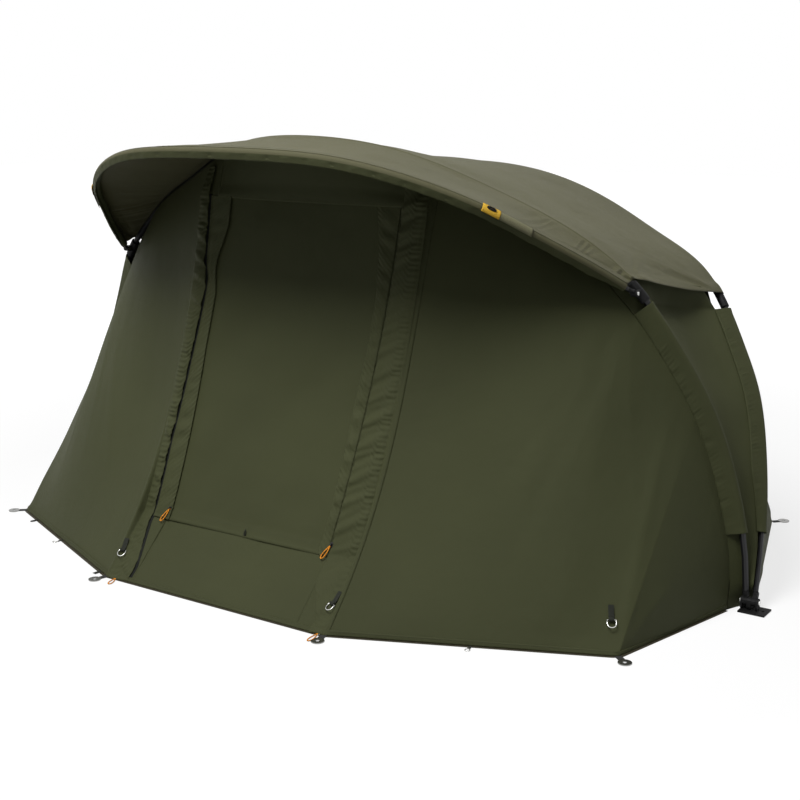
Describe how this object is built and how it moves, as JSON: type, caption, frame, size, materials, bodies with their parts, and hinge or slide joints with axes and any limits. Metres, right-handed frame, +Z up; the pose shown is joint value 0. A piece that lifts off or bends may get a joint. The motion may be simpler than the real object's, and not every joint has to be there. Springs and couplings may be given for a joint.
{
  "type": "bivvy tent",
  "caption": "One-person bivvy shelter: sprung front and rear pole ribs on ground hubs, a folding peak rib with hood, zipped front door, fabric walls and groundsheet.",
  "frame": {"origin": "On the ground, midway between the two hubs, at the middle of the groundsheet's underside.", "axes": "+X runs across the tent from one hub to the other, +Y to the rear, +Z up. The door faces -Y."},
  "size_m": [2.9266, 2.1366, 1.4142],
  "materials": {
    "roof_fabric": "olive khaki coated polyester, fine plain weave",
    "wall_fabric": "dark olive coated polyester, fine plain weave",
    "groundsheet_fabric": "heavy coated sheeting, matte",
    "pole_metal": "black coated aluminium, satin",
    "black_plastic": "black moulded plastic, matte",
    "steel": "bright steel",
    "eyelet_steel": "pressed steel eyelet on a black webbing tab",
    "webbing": "black woven webbing",
    "orange_cord": "orange braided cord"
  },
  "bodies": {
    "root": {"groundsheet": "groundsheet_fabric", "hub_foot_left": "black_plastic", "hub_foot_right": "black_plastic", "hub_pin_left": "steel", "hub_pin_right": "steel", "rear_wall": "wall_fabric", "peg_point_rear_left": "eyelet_steel", "peg_point_rear_right": "eyelet_steel", "peg_point_rear_middle": "eyelet_steel"},
    "rear_rib": {"rear_pole_left": "pole_metal", "rear_pole_right": "pole_metal", "rear_arch_pole": "pole_metal", "rear_rod_end_left": "black_plastic", "rear_rod_end_right": "black_plastic", "rear_knuckle_left": "black_plastic", "rear_knuckle_right": "black_plastic", "rear_sleeve_left": "wall_fabric", "rear_sleeve_right": "wall_fabric", "roof_canopy": "roof_fabric", "side_panel_left": "wall_fabric", "side_panel_right": "wall_fabric"},
    "front_rib": {"front_pole_left": "pole_metal", "front_pole_right": "pole_metal", "front_arch_pole": "pole_metal", "front_rod_end_left": "black_plastic", "front_rod_end_right": "black_plastic", "front_knuckle_left": "black_plastic", "front_knuckle_right": "black_plastic", "knuckle_pin_left": "steel", "knuckle_pin_right": "steel", "front_sleeve_left": "wall_fabric", "front_sleeve_right": "wall_fabric", "front_panel_left": "wall_fabric", "front_panel_right": "wall_fabric", "door_header": "wall_fabric", "door_skirt": "wall_fabric", "zip_chain_left": "black_plastic", "zip_chain_right": "black_plastic", "hood_canopy": "roof_fabric", "peg_point_door_left": "eyelet_steel", "peg_point_door_right": "eyelet_steel", "peg_point_corner_left": "eyelet_steel", "peg_point_corner_right": "eyelet_steel", "strap_flap_left": "webbing", "strap_flap_right": "webbing", "strap_corner_right": "webbing"},
    "peak_rib": {"peak_pole": "pole_metal", "peak_tip_left": "black_plastic", "peak_tip_right": "black_plastic", "rim_sleeve": "roof_fabric"},
    "door": {"door_panel": "wall_fabric"},
    "slider_left": {"zip_slider_left": "pole_metal"},
    "slider_right": {"zip_slider_right": "pole_metal"},
    "pull_left": {"zip_pull_left": "orange_cord"},
    "pull_right": {"zip_pull_right": "orange_cord"},
    "flap_ring_left": {"ring_flap_left": "steel"},
    "flap_ring_right": {"ring_flap_right": "steel"},
    "corner_ring_right": {"ring_corner_right": "steel"}
  },
  "joints": [
    {"name": "rear_rib_fold", "type": "hinge", "parent": "root", "child": "rear_rib", "pos_m": [0, 0, 0.03], "axis": [-1, 0, 0], "range_deg": [0, 55], "deforming": ["rear_wall"]},
    {"name": "front_rib_fold", "type": "hinge", "parent": "rear_rib", "child": "front_rib", "pos_m": [0, 0, 0.03], "axis": [-1, 0, 0], "range_deg": [0, 18], "deforming": ["roof_canopy", "side_panel_left", "side_panel_right", "rear_sleeve_left", "rear_sleeve_right"]},
    {"name": "peak_rib_fold", "type": "hinge", "parent": "front_rib", "child": "peak_rib", "pos_m": [0, -0.13217, 0.965], "axis": [-1, 0, 0], "range_deg": [0, 40], "deforming": ["hood_canopy"]},
    {"name": "door_swing", "type": "hinge", "parent": "front_rib", "child": "door", "pos_m": [0, -0.3575, 1.211], "axis": [-1, 0, 0], "range_deg": [0, 55]},
    {"name": "zip_travel_left", "type": "hinge", "parent": "front_rib", "child": "slider_left", "pos_m": [-0.33278, -3.92492, 1.8289], "axis": [0.9993, 0.0117, 0.0349], "range_deg": [0, 16.5]},
    {"name": "zip_travel_right", "type": "hinge", "parent": "front_rib", "child": "slider_right", "pos_m": [0.33278, -3.92492, 1.8289], "axis": [0.9993, -0.0117, -0.0349], "range_deg": [0, 16.5]},
    {"name": "zip_pull_left_flip", "type": "hinge", "parent": "slider_left", "child": "pull_left", "pos_m": [-0.33278, -0.69811, 0.20416], "axis": [-1, 0, 0], "range_deg": [0, 120]},
    {"name": "zip_pull_right_flip", "type": "hinge", "parent": "slider_right", "child": "pull_right", "pos_m": [0.33278, -0.69811, 0.20416], "axis": [-1, 0, 0], "range_deg": [0, 120]},
    {"name": "flap_ring_left_swing", "type": "hinge", "parent": "front_rib", "child": "flap_ring_left", "pos_m": [-0.42984, -0.82426, 0.07575], "axis": [-0.9627, -0.2707, 0], "range_deg": [0, 110]},
    {"name": "flap_ring_right_swing", "type": "hinge", "parent": "front_rib", "child": "flap_ring_right", "pos_m": [0.42984, -0.82426, 0.07575], "axis": [-0.9627, 0.2707, 0], "range_deg": [0, 110]},
    {"name": "corner_ring_right_swing", "type": "hinge", "parent": "front_rib", "child": "corner_ring_right", "pos_m": [1.18058, -0.50619, 0.08842], "axis": [-0.8515, -0.5244, 0], "range_deg": [0, 110]}
  ]
}
